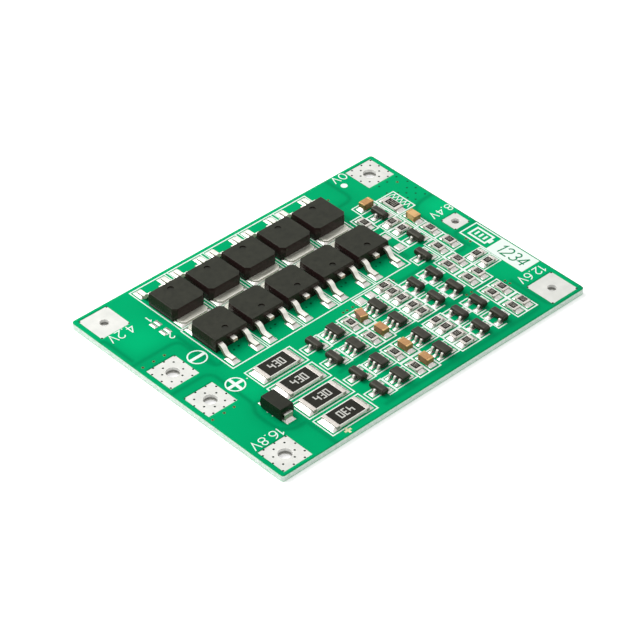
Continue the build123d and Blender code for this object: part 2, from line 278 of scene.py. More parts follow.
def piece(name, shape, finishes, smooth=True, stands_for=()):
    """A piece from a shape in millimetres."""
    points, faces = shape
    mesh = bpy.data.meshes.new(name)
    mesh.vertices.add(len(points))
    mesh.vertices.foreach_set("co", (points * MM).astype(np.float32).ravel())
    real = faces >= 0
    sides = real.sum(axis=1)
    mesh.loops.add(int(sides.sum()))
    mesh.loops.foreach_set("vertex_index", faces[real].astype(np.int32))
    mesh.polygons.add(len(faces))
    mesh.polygons.foreach_set("loop_start", (np.cumsum(sides) - sides).astype(np.int32))
    mesh.polygons.foreach_set("use_smooth", np.full(len(faces), smooth))
    mesh.update(calc_edges=True)
    print(name, len(points), "points", len(faces), "faces")
    return on_board(name, mesh, finishes, stands_for)


# %% [markdown]
# The board lies on a white sheet, which keeps its contact shadow. The sheet's white for the
# camera and for reflections comes from a little emission, so that no extra light falls on the
# board.

# %% Floor
floor_tone = 0.95
floor_glow = 0.36
floor_size = 6.0
floor_drop = 0.02
floor_corners = np.array([(-1, -1), (1, -1), (-1, 1), (1, 1)]) * floor_size / 2 / MM
floor_points = np.column_stack([floor_corners, np.full(4, -floor_drop)])
floor_mesh = bpy.data.meshes.new("floor")
floor_mesh.from_pydata((floor_points * MM).tolist(), [], grid_faces(2, 2).tolist())
floor = bpy.data.objects.new("floor", floor_mesh)
scene.collection.objects.link(floor)
floor_finish, tree = material("white_floor")
glow = arithmetic(tree, "MULTIPLY", any_ray(tree, "Camera", "Glossy", "Transmission"), floor_glow)
surface(
    tree, Base_Color=(floor_tone,) * 3 + (1.0,), Roughness=1.0, Specular_IOR_Level=0.0,
    Emission_Color=(1.0, 1.0, 1.0, 1.0), Emission_Strength=glow,
)
floor_mesh.materials.append(floor_finish)
print("floor", floor_size, "m wide")


# %% [markdown]
# Three effects turn up in every finish of the board: slow blotches of tone, a fine grain in
# relief, and a colour that runs between two tones. Each is a node group with named inputs, so a
# finish is only a choice of sizes and colours. The groups put out masks, colours and normals, and
# the shader itself stays in the material.

# %% Shared effects
def effect(name, inputs, outputs):
    """An empty shader group; returns it, the sockets that feed it and the sockets it fills."""
    group = bpy.data.node_groups.new(name, "ShaderNodeTree")
    for label, kind, value in inputs:
        socket = group.interface.new_socket(label, in_out="INPUT", socket_type="NodeSocket" + kind)
        if value is not None:
            socket.default_value = value
    for label, kind in outputs:
        group.interface.new_socket(label, in_out="OUTPUT", socket_type="NodeSocket" + kind)
    given, put = group.nodes.new("NodeGroupInput"), group.nodes.new("NodeGroupOutput")
    return group, given.outputs, put.inputs


def noise_in(group, vector, size, detail):
    """Noise whose lumps are about as large as a size in millimetres."""
    scale = arithmetic(group, "DIVIDE", 1 / MM, size)
    node = add(group, "ShaderNodeTexNoise")
    feed(group, node, Vector=vector, Scale=scale, Detail=detail, Roughness=0.6)
    return node.outputs[0]


blotches, given, put = effect(
    "blotches",
    [("Vector", "Vector", None), ("Size", "Float", 1.0), ("Contrast", "Float", 1.0)],
    [("Mask", "Float")],
)
cloud = noise_in(blotches, given["Vector"], given["Size"], 3.0)
centred = arithmetic(blotches, "SUBTRACT", cloud, 0.5)
spread = arithmetic(blotches, "MULTIPLY", centred, given["Contrast"])
mask = add(blotches, "ShaderNodeClamp")
feed(blotches, mask, Value=arithmetic(blotches, "ADD", spread, 0.5))
blotches.links.new(mask.outputs[0], put["Mask"])

grain, given, put = effect(
    "grain",
    [("Vector", "Vector", None), ("Size", "Float", 0.1), ("Depth", "Float", 0.001)],
    [("Normal", "Vector")],
)
rough_height = noise_in(grain, given["Vector"], given["Size"], 2.0)
relief = add(grain, "ShaderNodeBump")
feed(grain, relief, Strength=1.0, Height=rough_height)
grain.links.new(arithmetic(grain, "MULTIPLY", given["Depth"], MM), relief.inputs["Distance"])
grain.links.new(relief.outputs[0], put["Normal"])

two_tone, given, put = effect(
    "two_tone",
    [("Mask", "Float", 0.5), ("Dark", "Color", None), ("Light", "Color", None)],
    [("Color", "Color")],
)
toned = blended(two_tone, given["Mask"], given["Dark"], given["Light"])
two_tone.links.new(toned, put["Color"])
print("effects:", [group.name for group in (blotches, grain, two_tone)])


# %% [markdown]
# A finish picks two tones, the size of its blotches, the run of its roughness and the depth of
# its grain. Faces that stand upright can have a roughness of their own and a colour of their own.
# That colour is painted light: mostly painted shade that makes the sides of metal and ceramic
# darker than their tops, and on the epoxy cases a reddish tone that offsets the green their sides
# mirror. Coordinates are Object coordinates, which stay with the board, because every piece keeps
# its object at the origin.

# %% How a finish is made
def use(tree, group, **inputs):
    """What one effect puts out, placed in a material with its inputs filled."""
    return feed(tree, add(tree, "ShaderNodeGroup", node_tree=group), **inputs).outputs[0]


upright_below, level_above = 0.1, 0.7


def finish(
    name, dark, light, blotch, rough, grain_size, depth, metallic=0.0, specular=0.5,
    contrast=2.0, tint=(1.0, 1.0, 1.0, 1.0), painted_wall_light=None, wall_rough=None, streak=1.0,
):
    """A material that runs between two tones and two roughnesses in blotches, over a fine grain.
    Upright faces turn towards a painted colour, painted light that is mostly shade, or towards a
    roughness of their own as they stand upright.
    A streak above one draws the blotches out sideways."""
    made, tree = material(name)
    place = in_object(tree)
    drawn = feed(tree, add(tree, "ShaderNodeMapping"), Vector=place, Scale=(1 / streak, 1.0, 1.0))
    cloud = use(tree, blotches, Vector=drawn.outputs[0], Size=blotch, Contrast=contrast)
    colour = use(tree, two_tone, Mask=cloud, Dark=paint(*dark), Light=paint(*light))
    skin = between(tree, cloud, *rough)
    if painted_wall_light or wall_rough:
        facing = upward(tree, add(tree, "ShaderNodeNewGeometry").outputs["Normal"])
        level = step(tree, facing, upright_below, level_above)
    # Upright faces blend towards a painted colour: painted shade on the sides of metal and ceramic, and
    # on the epoxy cases a reddish tone that offsets the green their sides mirror.
    if painted_wall_light:
        colour = blended(tree, level, paint(*painted_wall_light), colour)
    if wall_rough:
        mixed = add(tree, "ShaderNodeMix", data_type="FLOAT")
        skin = feed(tree, mixed, Factor=level, A=wall_rough, B=skin).outputs[0]
    surface(
        tree, Base_Color=colour, Roughness=skin,
        Normal=use(tree, grain, Vector=place, Size=grain_size, Depth=depth),
        Metallic=metallic, Specular_IOR_Level=specular, Specular_Tint=tint,
    )
    return made


print("faces turn from wall to top colour as their normal's z goes", upright_below, "to", level_above)


# %% [markdown]
# Moulded epoxy is nearly black with a satin skin, tin is pale and a little cloudy, and fresh
# solder is smoother than both. The tones were matched to the photograph under the light above,
# one finish at a time. Pieces ask for a finish by its name.

# %% Finishes
olive = (1.0, 1.0, 0.86, 1.0)
# Each colour for upright faces below is painted light: painted shade on the sides of leads, legs and
# end caps, and on the epoxy cases a reddish tone that offsets the green their sides mirror.
finish(
    "case_epoxy", (24, 26, 18), (41, 42, 33), 0.9, (0.28, 0.48), 0.10, 0.003,
    specular=0.22, tint=olive, painted_wall_light=(46, 32, 31), wall_rough=0.24,
)
# The floor of the sunk pin mark is painted darker than the case top: painted shade in the hollow.
finish("pin_mark", (12, 13, 8), (28, 29, 21), 0.4, (0.30, 0.40), 0.10, 0.002, specular=0.28, tint=olive)
finish(
    "chip_epoxy", (26, 27, 20), (54, 50, 42), 0.9, (0.30, 0.44), 0.08, 0.003,
    specular=0.36, tint=olive, wall_rough=0.2,
)
finish(
    "diode_epoxy", (18, 21, 14), (30, 33, 24), 1.4, (0.34, 0.46), 0.12, 0.003,
    specular=0.22, tint=olive, wall_rough=0.2,
)
finish("pad_tin", (212, 213, 207), (228, 228, 222), 1.6, (0.42, 0.58), 0.3, 0.003, metallic=0.3)
finish("land_tin", (204, 199, 193), (238, 234, 228), 0.35, (0.28, 0.46), 0.2, 0.005, metallic=0.8)
finish("solder_bright", (206, 202, 196), (238, 236, 231), 0.3, (0.20, 0.36), 0.25, 0.004, metallic=0.7)
finish(
    "lead_tin", (240, 237, 226), (255, 253, 245), 0.5, (0.32, 0.46), 0.12, 0.004,
    metallic=0.6, painted_wall_light=(158, 152, 136),
)
finish(
    "leg_tin", (226, 223, 214), (252, 250, 244), 0.3, (0.30, 0.44), 0.12, 0.004,
    metallic=0.6, painted_wall_light=(198, 193, 178),
)
finish(
    "tab_tin", (190, 190, 176), (244, 244, 230), 0.35, (0.36, 0.58), 0.15, 0.002,
    metallic=0.6, contrast=2.6, streak=14.0,
)
finish(
    "cap_tin", (202, 195, 187), (230, 223, 216), 0.3, (0.30, 0.46), 0.1, 0.006,
    metallic=0.5, contrast=1.4, painted_wall_light=(172, 166, 158),
)
finish(
    "tan_cap", (186, 142, 88), (228, 186, 128), 0.3, (0.30, 0.46), 0.1, 0.006,
    metallic=0.6, painted_wall_light=(142, 116, 68),
)
finish("cut_copper", (214, 150, 130), (238, 206, 192), 0.25, (0.35, 0.55), 0.06, 0.004, metallic=0.2)
finish("alumina", (232, 228, 220), (246, 243, 237), 0.5, (0.45, 0.6), 0.1, 0.003)
finish(
    "resistor_glaze", (20, 20, 15), (34, 33, 27), 0.7, (0.30, 0.44), 0.2, 0.002,
    specular=0.15, tint=olive,
)
finish("white_print", (236, 249, 241), (243, 252, 246), 0.5, (0.40, 0.5), 0.08, 0.002, specular=0.6)
finish("grey_print", (120, 116, 108), (172, 168, 158), 0.3, (0.5, 0.6), 0.08, 0.003, specular=0.3)
finish("figure_print", (196, 196, 189), (216, 216, 209), 0.3, (0.5, 0.6), 0.08, 0.003, specular=0.3)
finish("green_print", (0, 120, 78), (0, 144, 92), 0.5, (0.4, 0.5), 0.1, 0.003, specular=0.1)
finish("cream_tin", (206, 196, 150), (240, 234, 200), 0.3, (0.35, 0.5), 0.1, 0.006, metallic=0.3)
# The next finish is painted shade for the insides of open holes, and the last one painted shade for the
# dimples of holes under the mask.
finish("via_well", (12, 30, 20), (34, 46, 34), 0.15, (0.5, 0.7), 0.05, 0.002, specular=0.2)
finish("via_ring", (66, 100, 44), (132, 128, 62), 0.2, (0.3, 0.5), 0.05, 0.003, metallic=0.3)
finish("tented", (0, 88, 52), (0, 112, 68), 0.2, (0.35, 0.5), 0.1, 0.003, specular=0.05)
print("finishes:", len(bpy.data.materials))


# %% [markdown]
# The green of the board isn't even. Under the mask lies copper foil, cut into areas by narrow
# gaps, and the coat dips over each gap and looks darker there. The distance to the nearest gap
# is worked out for every point of the sheet and kept as an attribute, so that the shader draws
# crisp gap lines on a coarse mesh and the mesh itself carries the small step in height.

# %% Where the foil is parted
foil_step = 0.018
gap_half_width = 0.24
gap_bend = 1.6
left, right, front, rear = board_low[0], board_high[0], board_low[1], board_high[1]
foil_gaps = [
    [(left, 8.9), (-21.4, 8.9), (-21.4, 1.0), (-19.9, 1.0)],
    [(-20.9, 9.6), (-20.9, 1.6)],
    [(left, 0.55), (-22.75, 0.55), (-22.75, -8.8), (-24.0, -10.2), (-24.0, -14.6), (-22.4, -16.4),
     (-19.9, -16.4)],
    [(-19.9, -16.4), (-19.9, front)],
    [(-22.75, -8.8), (-19.8, -8.8)],
    [(left, 16.0), (-29.2, 16.0), (-29.2, 9.9)],
    [(20.2, rear), (20.2, 16.2), (16.2, 16.2), (16.2, 0.4)],
    [(right, 8.9), (26.6, 8.9), (24.6, 7.2), (24.6, -3.9), (22.2, -3.9)],
    [(24.9, -3.9), (24.9, -0.2), (right, -0.2)],
    [(-9.2, -11.9), (22.3, -11.9), (22.3, -21.2), (-9.2, -21.2)],
    [(23.4, -14.0), (23.4, -22.0), (right, -22.0)],
    [(10.6, -1.6), (10.6, -3.0), (17.0, -3.0)],
]


def bent(points, radius, steps=6):
    """A path with each corner swapped for a quadratic curve that starts a radius before it."""
    path = [np.array(points[0], float)]
    t = np.linspace(0, 1, steps)[:, None]
    for before, corner, after in zip(points, points[1:], points[2:]):
        before, corner, after = (np.array(p, float) for p in (before, corner, after))
        reach_in = min(radius, np.linalg.norm(before - corner) / 2)
        reach_out = min(radius, np.linalg.norm(after - corner) / 2)
        first = corner + (before - corner) / np.linalg.norm(before - corner) * reach_in
        last = corner + (after - corner) / np.linalg.norm(after - corner) * reach_out
        path.extend((1 - t) ** 2 * first + 2 * t * (1 - t) * corner + t**2 * last)
    return np.array([*path, np.array(points[-1], float)])


def distance_to_path(x, y, path):
    """Shortest distance to a path: to the foot of the normal on each run, or to the run's ends."""
    start, run = path[:-1], np.diff(path, axis=0)
    length = np.maximum((run**2).sum(1), 1e-9)
    offset_x, offset_y = x[..., None] - start[:, 0], y[..., None] - start[:, 1]
    along = np.clip((offset_x * run[:, 0] + offset_y * run[:, 1]) / length, 0, 1)
    return np.hypot(offset_x - along * run[:, 0], offset_y - along * run[:, 1]).min(-1)


# Soft spots of tone on the mask: the lighter ones lie over copper under the coat, and the deeper ones
# are partly painted shade, as along the front edge.
soft_spots = [
    (-25.2, 12.6, 3.6, 0.20), (28.6, 6.4, 3.0, 0.26), (-21.3, -6.2, 2.2, 0.14),
    (13.6, -3.9, 2.6, 0.10), (26.8, -12.4, 4.5, 0.06), (-26.5, 6.5, 4.2, -0.12),
    (-26.5, -1.5, 4.0, -0.05), (-27.5, -18.5, 4.0, -0.16), (6.0, -21.4, 6.0, -0.20),
    (18.0, -21.4, 6.0, -0.12), (17.5, 10.5, 4.0, -0.18), (-8.9, -12.0, 2.6, -0.03),
    (0.0, 1.2, 9.0, -0.03), (12.0, -9.0, 5.0, -0.10),
]


def spot_tone(x, y):
    """Deeper and lighter areas as soft spots, the deeper ones partly painted shade: the sum of
    change * exp(-(distance / radius) squared).
    """
    spots = [change * np.exp(-((x - u) ** 2 + (y - v) ** 2) / r**2) for u, v, r, change in soft_spots]
    return np.sum(spots, axis=0)


def foil_depth(x, y):
    """How far each point lies inside the copper: distance to the nearest gap less its half width."""
    paths = [bent(points, gap_bend) for points in foil_gaps]
    return np.min([distance_to_path(x, y, path) for path in paths], axis=0) - gap_half_width


# %% [markdown]
# The sheet is a grid whose lines also run along the edges of the solder pads, so that whole
# cells can be left out there. Its upper and lower faces share one set of cells and are joined by
# walls at the rim and round each opening, which makes a closed skin. The square corners of the
# grid are pulled onto the board's round ones.

# %% The laminate with its two coats of mask
grid_pitch = 0.3
grid_clearance = 0.12
corner_radius = 0.5
pads = [millimetres(name) for name in nodes if name.startswith("terminal_")]


def grid_lines(low, high, fixed):
    """Evenly spaced lines, less those beside a fixed one, together with the fixed ones."""
    even = np.linspace(low, high, int((high - low) / grid_pitch) + 1)
    fixed = np.unique(np.round(fixed, 4))
    away = np.abs(even[:, None] - fixed).min(1) > grid_clearance
    return np.sort(np.concatenate([even[away], fixed]))


def round_corners(x, y):
    """In each corner square, the ring at distance m along the axes becomes an arc of radius m."""
    centre_x = np.sign(x) * (right - corner_radius)
    centre_y = np.sign(y) * (rear - corner_radius)
    dx, dy = x - centre_x, y - centre_y
    inside = (dx * np.sign(x) > 0) & (dy * np.sign(y) > 0)
    largest = np.maximum(np.abs(dx), np.abs(dy))
    share = np.where(inside, largest / np.maximum(np.hypot(dx, dy), 1e-9), 1.0)
    return centre_x + dx * share, centre_y + dy * share


def walls(kept, top, bottom, sideways):
    """Wall quads where a kept cell meets one left out, along one of the grid's two directions."""
    if sideways:
        kept, top, bottom = kept.T, top.T, bottom.T
    before = np.pad(kept, ((0, 0), (1, 0)))
    after = np.pad(kept, ((0, 0), (0, 1)))
    quads = []
    for leaving in (True, False):
        row, column = np.nonzero(before & ~after if leaving else ~before & after)
        quad = [top[row, column], bottom[row, column], bottom[row + 1, column], top[row + 1, column]]
        quads.append(np.stack(quad if leaving != sideways else quad[::-1], -1))
    return np.concatenate(quads)


def board_sheet():
    """Two grids of heights with the pads' cells left out, and the walls that join them."""
    edges_x = [left, right, *(corner[0] for pad in pads for corner in pad)]
    edges_y = [front, rear, *(corner[1] for pad in pads for corner in pad)]
    lines_x, lines_y = grid_lines(left, right, edges_x), grid_lines(front, rear, edges_y)
    x, y = np.meshgrid(lines_x, lines_y)
    middle_x, middle_y = (x[:-1, :-1] + x[1:, 1:]) / 2, (y[:-1, :-1] + y[1:, 1:]) / 2
    kept = np.ones(middle_x.shape, bool)
    for low, high in pads:
        kept &= (middle_x < low[0]) | (middle_x > high[0]) | (middle_y < low[1]) | (middle_y > high[1])
    depth, tone = foil_depth(x, y), spot_tone(x, y)
    rise = foil_step * np.clip(depth / gap_half_width, 0, 1)
    x, y = round_corners(x, y)
    upper = np.stack([x, y, board_top + rise], -1).reshape(-1, 3)
    lower = np.stack([x, y, np.zeros_like(x)], -1).reshape(-1, 3)
    top = np.arange(x.size).reshape(x.shape)
    bottom = top + x.size
    sheet = grid_faces(*x.shape)[kept.ravel()]
    sides = np.concatenate([walls(kept, top, bottom, turned) for turned in (False, True)])
    faces = np.concatenate([sheet, sheet[:, ::-1] + x.size, sides])
    marks = np.tile([depth.ravel(), tone.ravel()], 2)
    return (np.concatenate([upper, lower]), faces), marks, 2 * len(sheet)


shape, (depth, tone), coated = board_sheet()
used = np.unique(shape[1])
renumber = np.zeros(len(shape[0]), int)
renumber[used] = np.arange(len(used))
shape = (shape[0][used], renumber[shape[1]])


# %% [markdown]
# The mask is a clear green lacquer. It is brightest over wide copper, a little deeper over bare
# laminate, and darkest in the line where it runs over a foil edge. The rim shows the pressed
# glass cloth, pale with thin layers, under a lip of green. A painted picture could hold all
# this, but it would blur up close, so the tones follow from the attributes and from the height.

# %% Solder mask and laminate
wide_copper = 2.2
foil_line = 0.45
lip_from, lip_to = 0.12, 0.03


def solder_mask():
    """Green lacquer: tone = 0.38 + 0.10 * blotches + 0.08 deep inside wide copper + the soft
    spots, which are partly painted shade.
    """
    tree = material("solder_mask")[1]
    place = in_object(tree)
    foil = add(tree, "ShaderNodeAttribute", attribute_name="foil").outputs["Fac"]
    tone = add(tree, "ShaderNodeAttribute", attribute_name="tone").outputs["Fac"]
    cloud = use(tree, blotches, Vector=place, Size=7.0, Contrast=1.2)
    uneven = arithmetic(tree, "ADD", arithmetic(tree, "MULTIPLY", cloud, 0.10), 0.38)
    deep = arithmetic(tree, "MULTIPLY", step(tree, foil, 0.0, wide_copper), 0.08)
    # The tone attribute brings in the soft spots, partly painted shade.
    share = arithmetic(tree, "ADD", arithmetic(tree, "ADD", deep, uneven), tone)
    over_foil = use(tree, two_tone, Mask=share, Dark=paint(0, 130, 80), Light=paint(0, 200, 128))
    on_foil = step(tree, foil, -foil_line, foil_line)
    surface(
        tree, Base_Color=blended(tree, on_foil, paint(0, 139, 87), over_foil),
        Normal=use(tree, grain, Vector=place, Size=0.5, Depth=0.006),
        Roughness=between(tree, cloud, 0.30, 0.40),
        Specular_IOR_Level=0.02, Specular_Tint=(0.0, 1.0, 0.55, 1.0),
    )


def laminate_rim():
    """Pressed glass cloth seen on edge: pale layers with a green lip above and below."""
    tree = material("laminate_rim")[1]
    place = in_object(tree)
    flat = feed(tree, add(tree, "ShaderNodeMapping"), Vector=place, Scale=(1.0, 1.0, 2.0)).outputs[0]
    threads = use(tree, blotches, Vector=flat, Size=0.55, Contrast=3.0)
    cloth = use(tree, two_tone, Mask=threads, Dark=paint(208, 234, 216), Light=paint(244, 255, 248))
    height = arithmetic(tree, "DIVIDE", upward(tree, place), MM)
    off_middle = arithmetic(tree, "ABSOLUTE", arithmetic(tree, "SUBTRACT", height, board_top / 2))
    lip = step(tree, off_middle, board_top / 2 - lip_from, board_top / 2 - lip_to)
    surface(
        tree, Base_Color=blended(tree, lip, cloth, paint(140, 226, 172)),
        Normal=use(tree, grain, Vector=flat, Size=0.2, Depth=0.02),
        Roughness=0.7, Specular_IOR_Level=0.3,
    )


solder_mask()
laminate_rim()
board = piece(
    "masked_board", shape, ["solder_mask", "laminate_rim"], stands_for=["circuit_board"],
)
material_index = (np.arange(len(shape[1])) >= coated).astype(np.int32)
board.data.polygons.foreach_set("material_index", material_index)
board.data.polygons.foreach_set("use_smooth", material_index == 0)
for label, values in (("foil", depth), ("tone", tone)):
    attribute = board.data.attributes.new(label, "FLOAT", "POINT")
    attribute.data.foreach_set("value", values[used].astype(np.float32))
print("board sheet cells:", coated)


# %% [markdown]
# Moulded cases and formed metal never have knife edges, and a rounded edge is what catches the
# light. Each solid is copied, its loose triangles are merged into flat faces, and its long outer
# edges are bevelled. A bevel on the copy keeps the exact place and size of the solid, which a
# piece drawn afresh would not. Weighted normals keep the flat faces flat. Formed leads get two
# passes, a wide one over their bends and a narrow one along their edges.

# %% Softened copies of the solids
merged, gentle, sharp = np.radians([1.0, 10.0, 40.0]).tolist()


def bevel(shape, edges, offset, segments):
    """Rounds some edges of a mesh and refreshes its normals."""
    bmesh.ops.bevel(
        shape, geom=edges, offset=offset * MM, offset_type="OFFSET",
        segments=segments, profile=0.5, affect="EDGES", clamp_overlap=True,
    )
    shape.normal_update()


def softened(
    node, finishes, radius, shortest=0.3, segments=2, bend_radius=0.0, choose=None, wide=None,
):
    """A copy of a CAD node with rounded edges, which stands for the node."""
    shape = bmesh.new()
    shape.from_mesh(nodes[node].data)
    bmesh.ops.remove_doubles(shape, verts=shape.verts, dist=0.001 * MM)
    bmesh.ops.dissolve_limit(shape, angle_limit=merged, verts=shape.verts, edges=shape.edges)
    shape.normal_update()
    if bend_radius:
        bends = [e for e in shape.edges if gentle < abs(e.calc_face_angle_signed(0.0)) < sharp]
        bevel(shape, bends, bend_radius, 4)
    if wide:
        bevel(shape, [e for e in shape.edges if wide(e)], rolled_radius, 4)
    outer = [e for e in shape.edges if e.calc_face_angle_signed(0.0) > sharp]
    bevel(shape, [e for e in outer if e.calc_length() > shortest * MM], radius, segments)
    for face in shape.faces:
        face.smooth = True
        if choose:
            face.material_index = choose(face)
    for edge in shape.edges:
        edge.smooth = edge.calc_face_angle(0.0) < sharp
    mesh = bpy.data.meshes.new("soft_" + node)
    shape.to_mesh(mesh)
    shape.free()
    made = on_board("soft_" + node, mesh, finishes, [node])
    made.modifiers.new("even_normals", "WEIGHTED_NORMAL").keep_sharp = True
    return made


print("edges sharper than", round(math.degrees(sharp)), "degrees get a bevel")


# %% [markdown]
# A power transistor's leadframe is cut from one sheet. Its tab is rolled at the upper edge and
# duller than the leads, and the stub of the middle lead shows bare copper where it was cut. The
# rules below pick those edges and faces by their place and by the way they face, so that they
# also hold when the part changes size.

# %% Rules for cases and leadframes, and the copies
stub_end_height, stub_half_width = 1.6, 0.6
rolled_radius, tab_share, tab_lowest = 0.22, 0.9, 0.3
pin_mark_deepest = 0.3


def frame_sides(node):
    """The middle and half length of one power case, and 1 if its leads point to the rear, else -1."""
    low, high = (corner * MM for corner in millimetres(node))
    case_low, case_high = (corner * MM for corner in millimetres(node.replace("leadframe", "case")))
    leads_to = -1 if case_low[1] - low[1] > high[1] - case_high[1] else 1
    return (case_low + case_high) / 2, (case_high[1] - case_low[1]) / 2, leads_to


def tab_edges(node):
    """A rule for the upper edges of one tab, which a press has rolled over."""
    centre, half_length, leads_to = frame_sides(node)

    def is_rolled(edge):
        ends = [corner.co for corner in edge.verts]
        on_tab = all((centre[1] - end.y) * leads_to > tab_share * half_length for end in ends)
        level = abs(ends[0].z - ends[1].z) < 0.01 * MM
        square = edge.calc_face_angle_signed(0.0) > math.radians(60)
        return on_tab and level and square and ends[0].z > (board_top + tab_lowest) * MM

    return is_rolled


def frame_faces(node):
    """A rule for the faces of one leadframe: 1 for the cut end of its stub, 2 for its tab, else 0.
    The tab's rolled edge takes the leads' paler finish as a painted highlight."""
    centre, _, leads_to = frame_sides(node)

    def finish_of(face):
        middle = face.calc_center_median()
        if (middle.y - centre[1]) * leads_to < 0:
            # Sloped faces on the tab side, its rolled edge, take the paler lead finish as a painted
            # highlight.
            return 0 if 0.2 < face.normal.z < 0.97 else 2
        stub = abs(middle.x - centre[0]) < stub_half_width * MM and middle.z > stub_end_height * MM
        return int(stub and face.normal.y * leads_to > 0.9)

    return finish_of


def case_faces(node):
    """A rule for the faces of one case: 1 inside the round pin mark sunk in its top, else 0."""
    top = millimetres(node)[1][2] * MM

    def finish_of(face):
        sunk = top - face.calc_center_median().z
        return int(0.01 * MM < sunk < pin_mark_deepest * MM and face.normal.z > 0.9)

    return finish_of


for name in sorted(nodes):
    if name.endswith("_case") and name.startswith("fet"):
        softened(name, ["case_epoxy", "pin_mark"], 0.07, choose=case_faces(name))
    if name.endswith("_leadframe"):
        faces, edges = frame_faces(name), tab_edges(name)
        metals = ["lead_tin", "cut_copper", "tab_tin"]
        softened(name, metals, 0.05, bend_radius=0.25, choose=faces, wide=edges)
softened("three_leg_cases", ["chip_epoxy"], 0.2, segments=4)
softened("six_leg_cases", ["chip_epoxy"], 0.14, segments=3)
softened("diode_case", ["diode_epoxy"], 0.12, segments=3)
softened("diode_leads", ["leg_tin"], 0.06)
softened("three_leg_legs", ["leg_tin"], 0.03, shortest=0.1, bend_radius=0.03)
softened("six_leg_legs", ["leg_tin"], 0.03, shortest=0.1, bend_radius=0.03)
softened("capacitor_end_caps", ["tan_cap"], 0.06, segments=3)
print("softened copies made")


# %% [markdown]
# The end caps of the resistors are dipped metal, thin and round at every edge. Each is a rounded
# box: rings of directions on a small ball, moved out to the box's corners, where the ball's radius
# is the roundness. The solids' wraps are hollow and too thin to bevel, so these stand for them.
# They are a few thousandths of a millimetre larger, so that no face of a core shows through.

# %% Dipped end caps
def rounded_boxes(boxes, radius, turns=3, levels=3):
    """Each point is centre + side signs * (half size - radius) + radius * direction on the ball."""
    centre, half = boxes.mean(1)[:, None], (boxes[:, 1] - boxes[:, 0])[:, None] / 2
    quarter = np.linspace(0, np.pi / 2, turns)
    around = (np.arange(4)[:, None] * np.pi / 2 + quarter).ravel()
    corner = np.repeat(np.arange(4) * np.pi / 2 + np.pi / 4, turns)
    rise = np.linspace(0, np.radians(82), levels)
    rise = np.concatenate([-rise[::-1], rise])
    upper = np.repeat([-1, 1], levels)
    direction_x = np.cos(rise)[:, None] * np.cos(around)
    direction_y = np.cos(rise)[:, None] * np.sin(around)
    direction_z = np.repeat(np.sin(rise)[:, None], len(around), 1)
    ball = np.stack([direction_x, direction_y, direction_z], -1).reshape(-1, 3)
    flat_signs = np.stack([np.sign(np.cos(corner)), np.sign(np.sin(corner))], -1)
    flat_signs, upper = np.tile(flat_signs, (len(rise), 1)), np.repeat(upper, len(around))
    signs = np.column_stack([flat_signs, upper])
    points = centre + signs * (half - radius) + radius * ball
    count, top = len(around), (len(rise) - 1) * len(around)
    i = np.arange(count // 2 - 1)
    lid = np.stack([i, i + 1, count - 2 - i, count - 1 - i], -1)
    one = np.concatenate([grid_faces(len(rise), count, wrap=True), lid + top, lid[:, ::-1]])
    faces = one + (np.arange(len(boxes)) * len(ball))[:, None, None]
    return points.reshape(-1, 3), faces.reshape(-1, 4)


def separate_boxes(node):
    """Low and high corners of each separate solid: points of one triangle share the lowest label."""
    mesh = nodes[node].data
    mesh.calc_loop_triangles()
    points = np.zeros(len(mesh.vertices) * 3)
    mesh.vertices.foreach_get("co", points)
    corners = np.zeros(len(mesh.loop_triangles) * 3, np.int32)
    mesh.loop_triangles.foreach_get("vertices", corners)
    points, number = np.unique(np.round(points.reshape(-1, 3) / MM, 3), axis=0, return_inverse=True)
    triangles = number.ravel()[corners].reshape(-1, 3)
    label, settled = np.arange(len(points)), False
    while not settled:
        lower = label.copy()
        np.minimum.at(lower, triangles.ravel(), np.repeat(label[triangles].min(1), 3))
        lower = lower[lower]
        settled = (lower == label).all()
        label = lower
    groups = [points[label == one] for one in np.unique(label)]
    return np.array([(group.min(0), group.max(0)) for group in groups])


cap_round = 0.06
cap_skin = 0.006
for name in ("balance_resistor_end_caps", "large_resistor_end_caps", "chip_resistor_end_caps"):
    boxes = separate_boxes(name) + np.array([(-cap_skin,) * 2 + (0,), (cap_skin,) * 2 + (cap_skin,)])
    shape = rounded_boxes(boxes, cap_round)
    caps = piece("dipped_" + name, shape, ["cap_tin"], stands_for=[name])
    caps.modifiers.new("even_normals", "WEIGHTED_NORMAL")


# %% [markdown]
# Ceramic capacitors are fired in batches, and no two batches have quite the same brown. The
# copy of the bodies gets a number for each body, read off its place, and the finish turns that
# number into a tone from pinkish tan to orange brown, and at last to pale gold.

# %% Capacitors and the solids that keep their shape
capacitors = softened("capacitor_bodies", [], 0.05)
tones = np.array([0.15, 0.62, 0.85, 0.75, 1.0, 2.0])
body_boxes = separate_boxes("capacitor_bodies")
body_boxes = body_boxes[np.lexsort((-body_boxes[:, 0, 1], body_boxes[:, 0, 0] > 10))]
places = np.zeros(len(capacitors.data.vertices) * 3)
capacitors.data.vertices.foreach_get("co", places)
places = places.reshape(-1, 3) / MM
gaps = np.linalg.norm(places[:, None, :2] - body_boxes.mean(1)[None, :, :2], axis=-1)
tone = capacitors.data.attributes.new("batch", "FLOAT", "POINT")
tone.data.foreach_set("value", tones[gaps.argmin(1)].astype(np.float32))


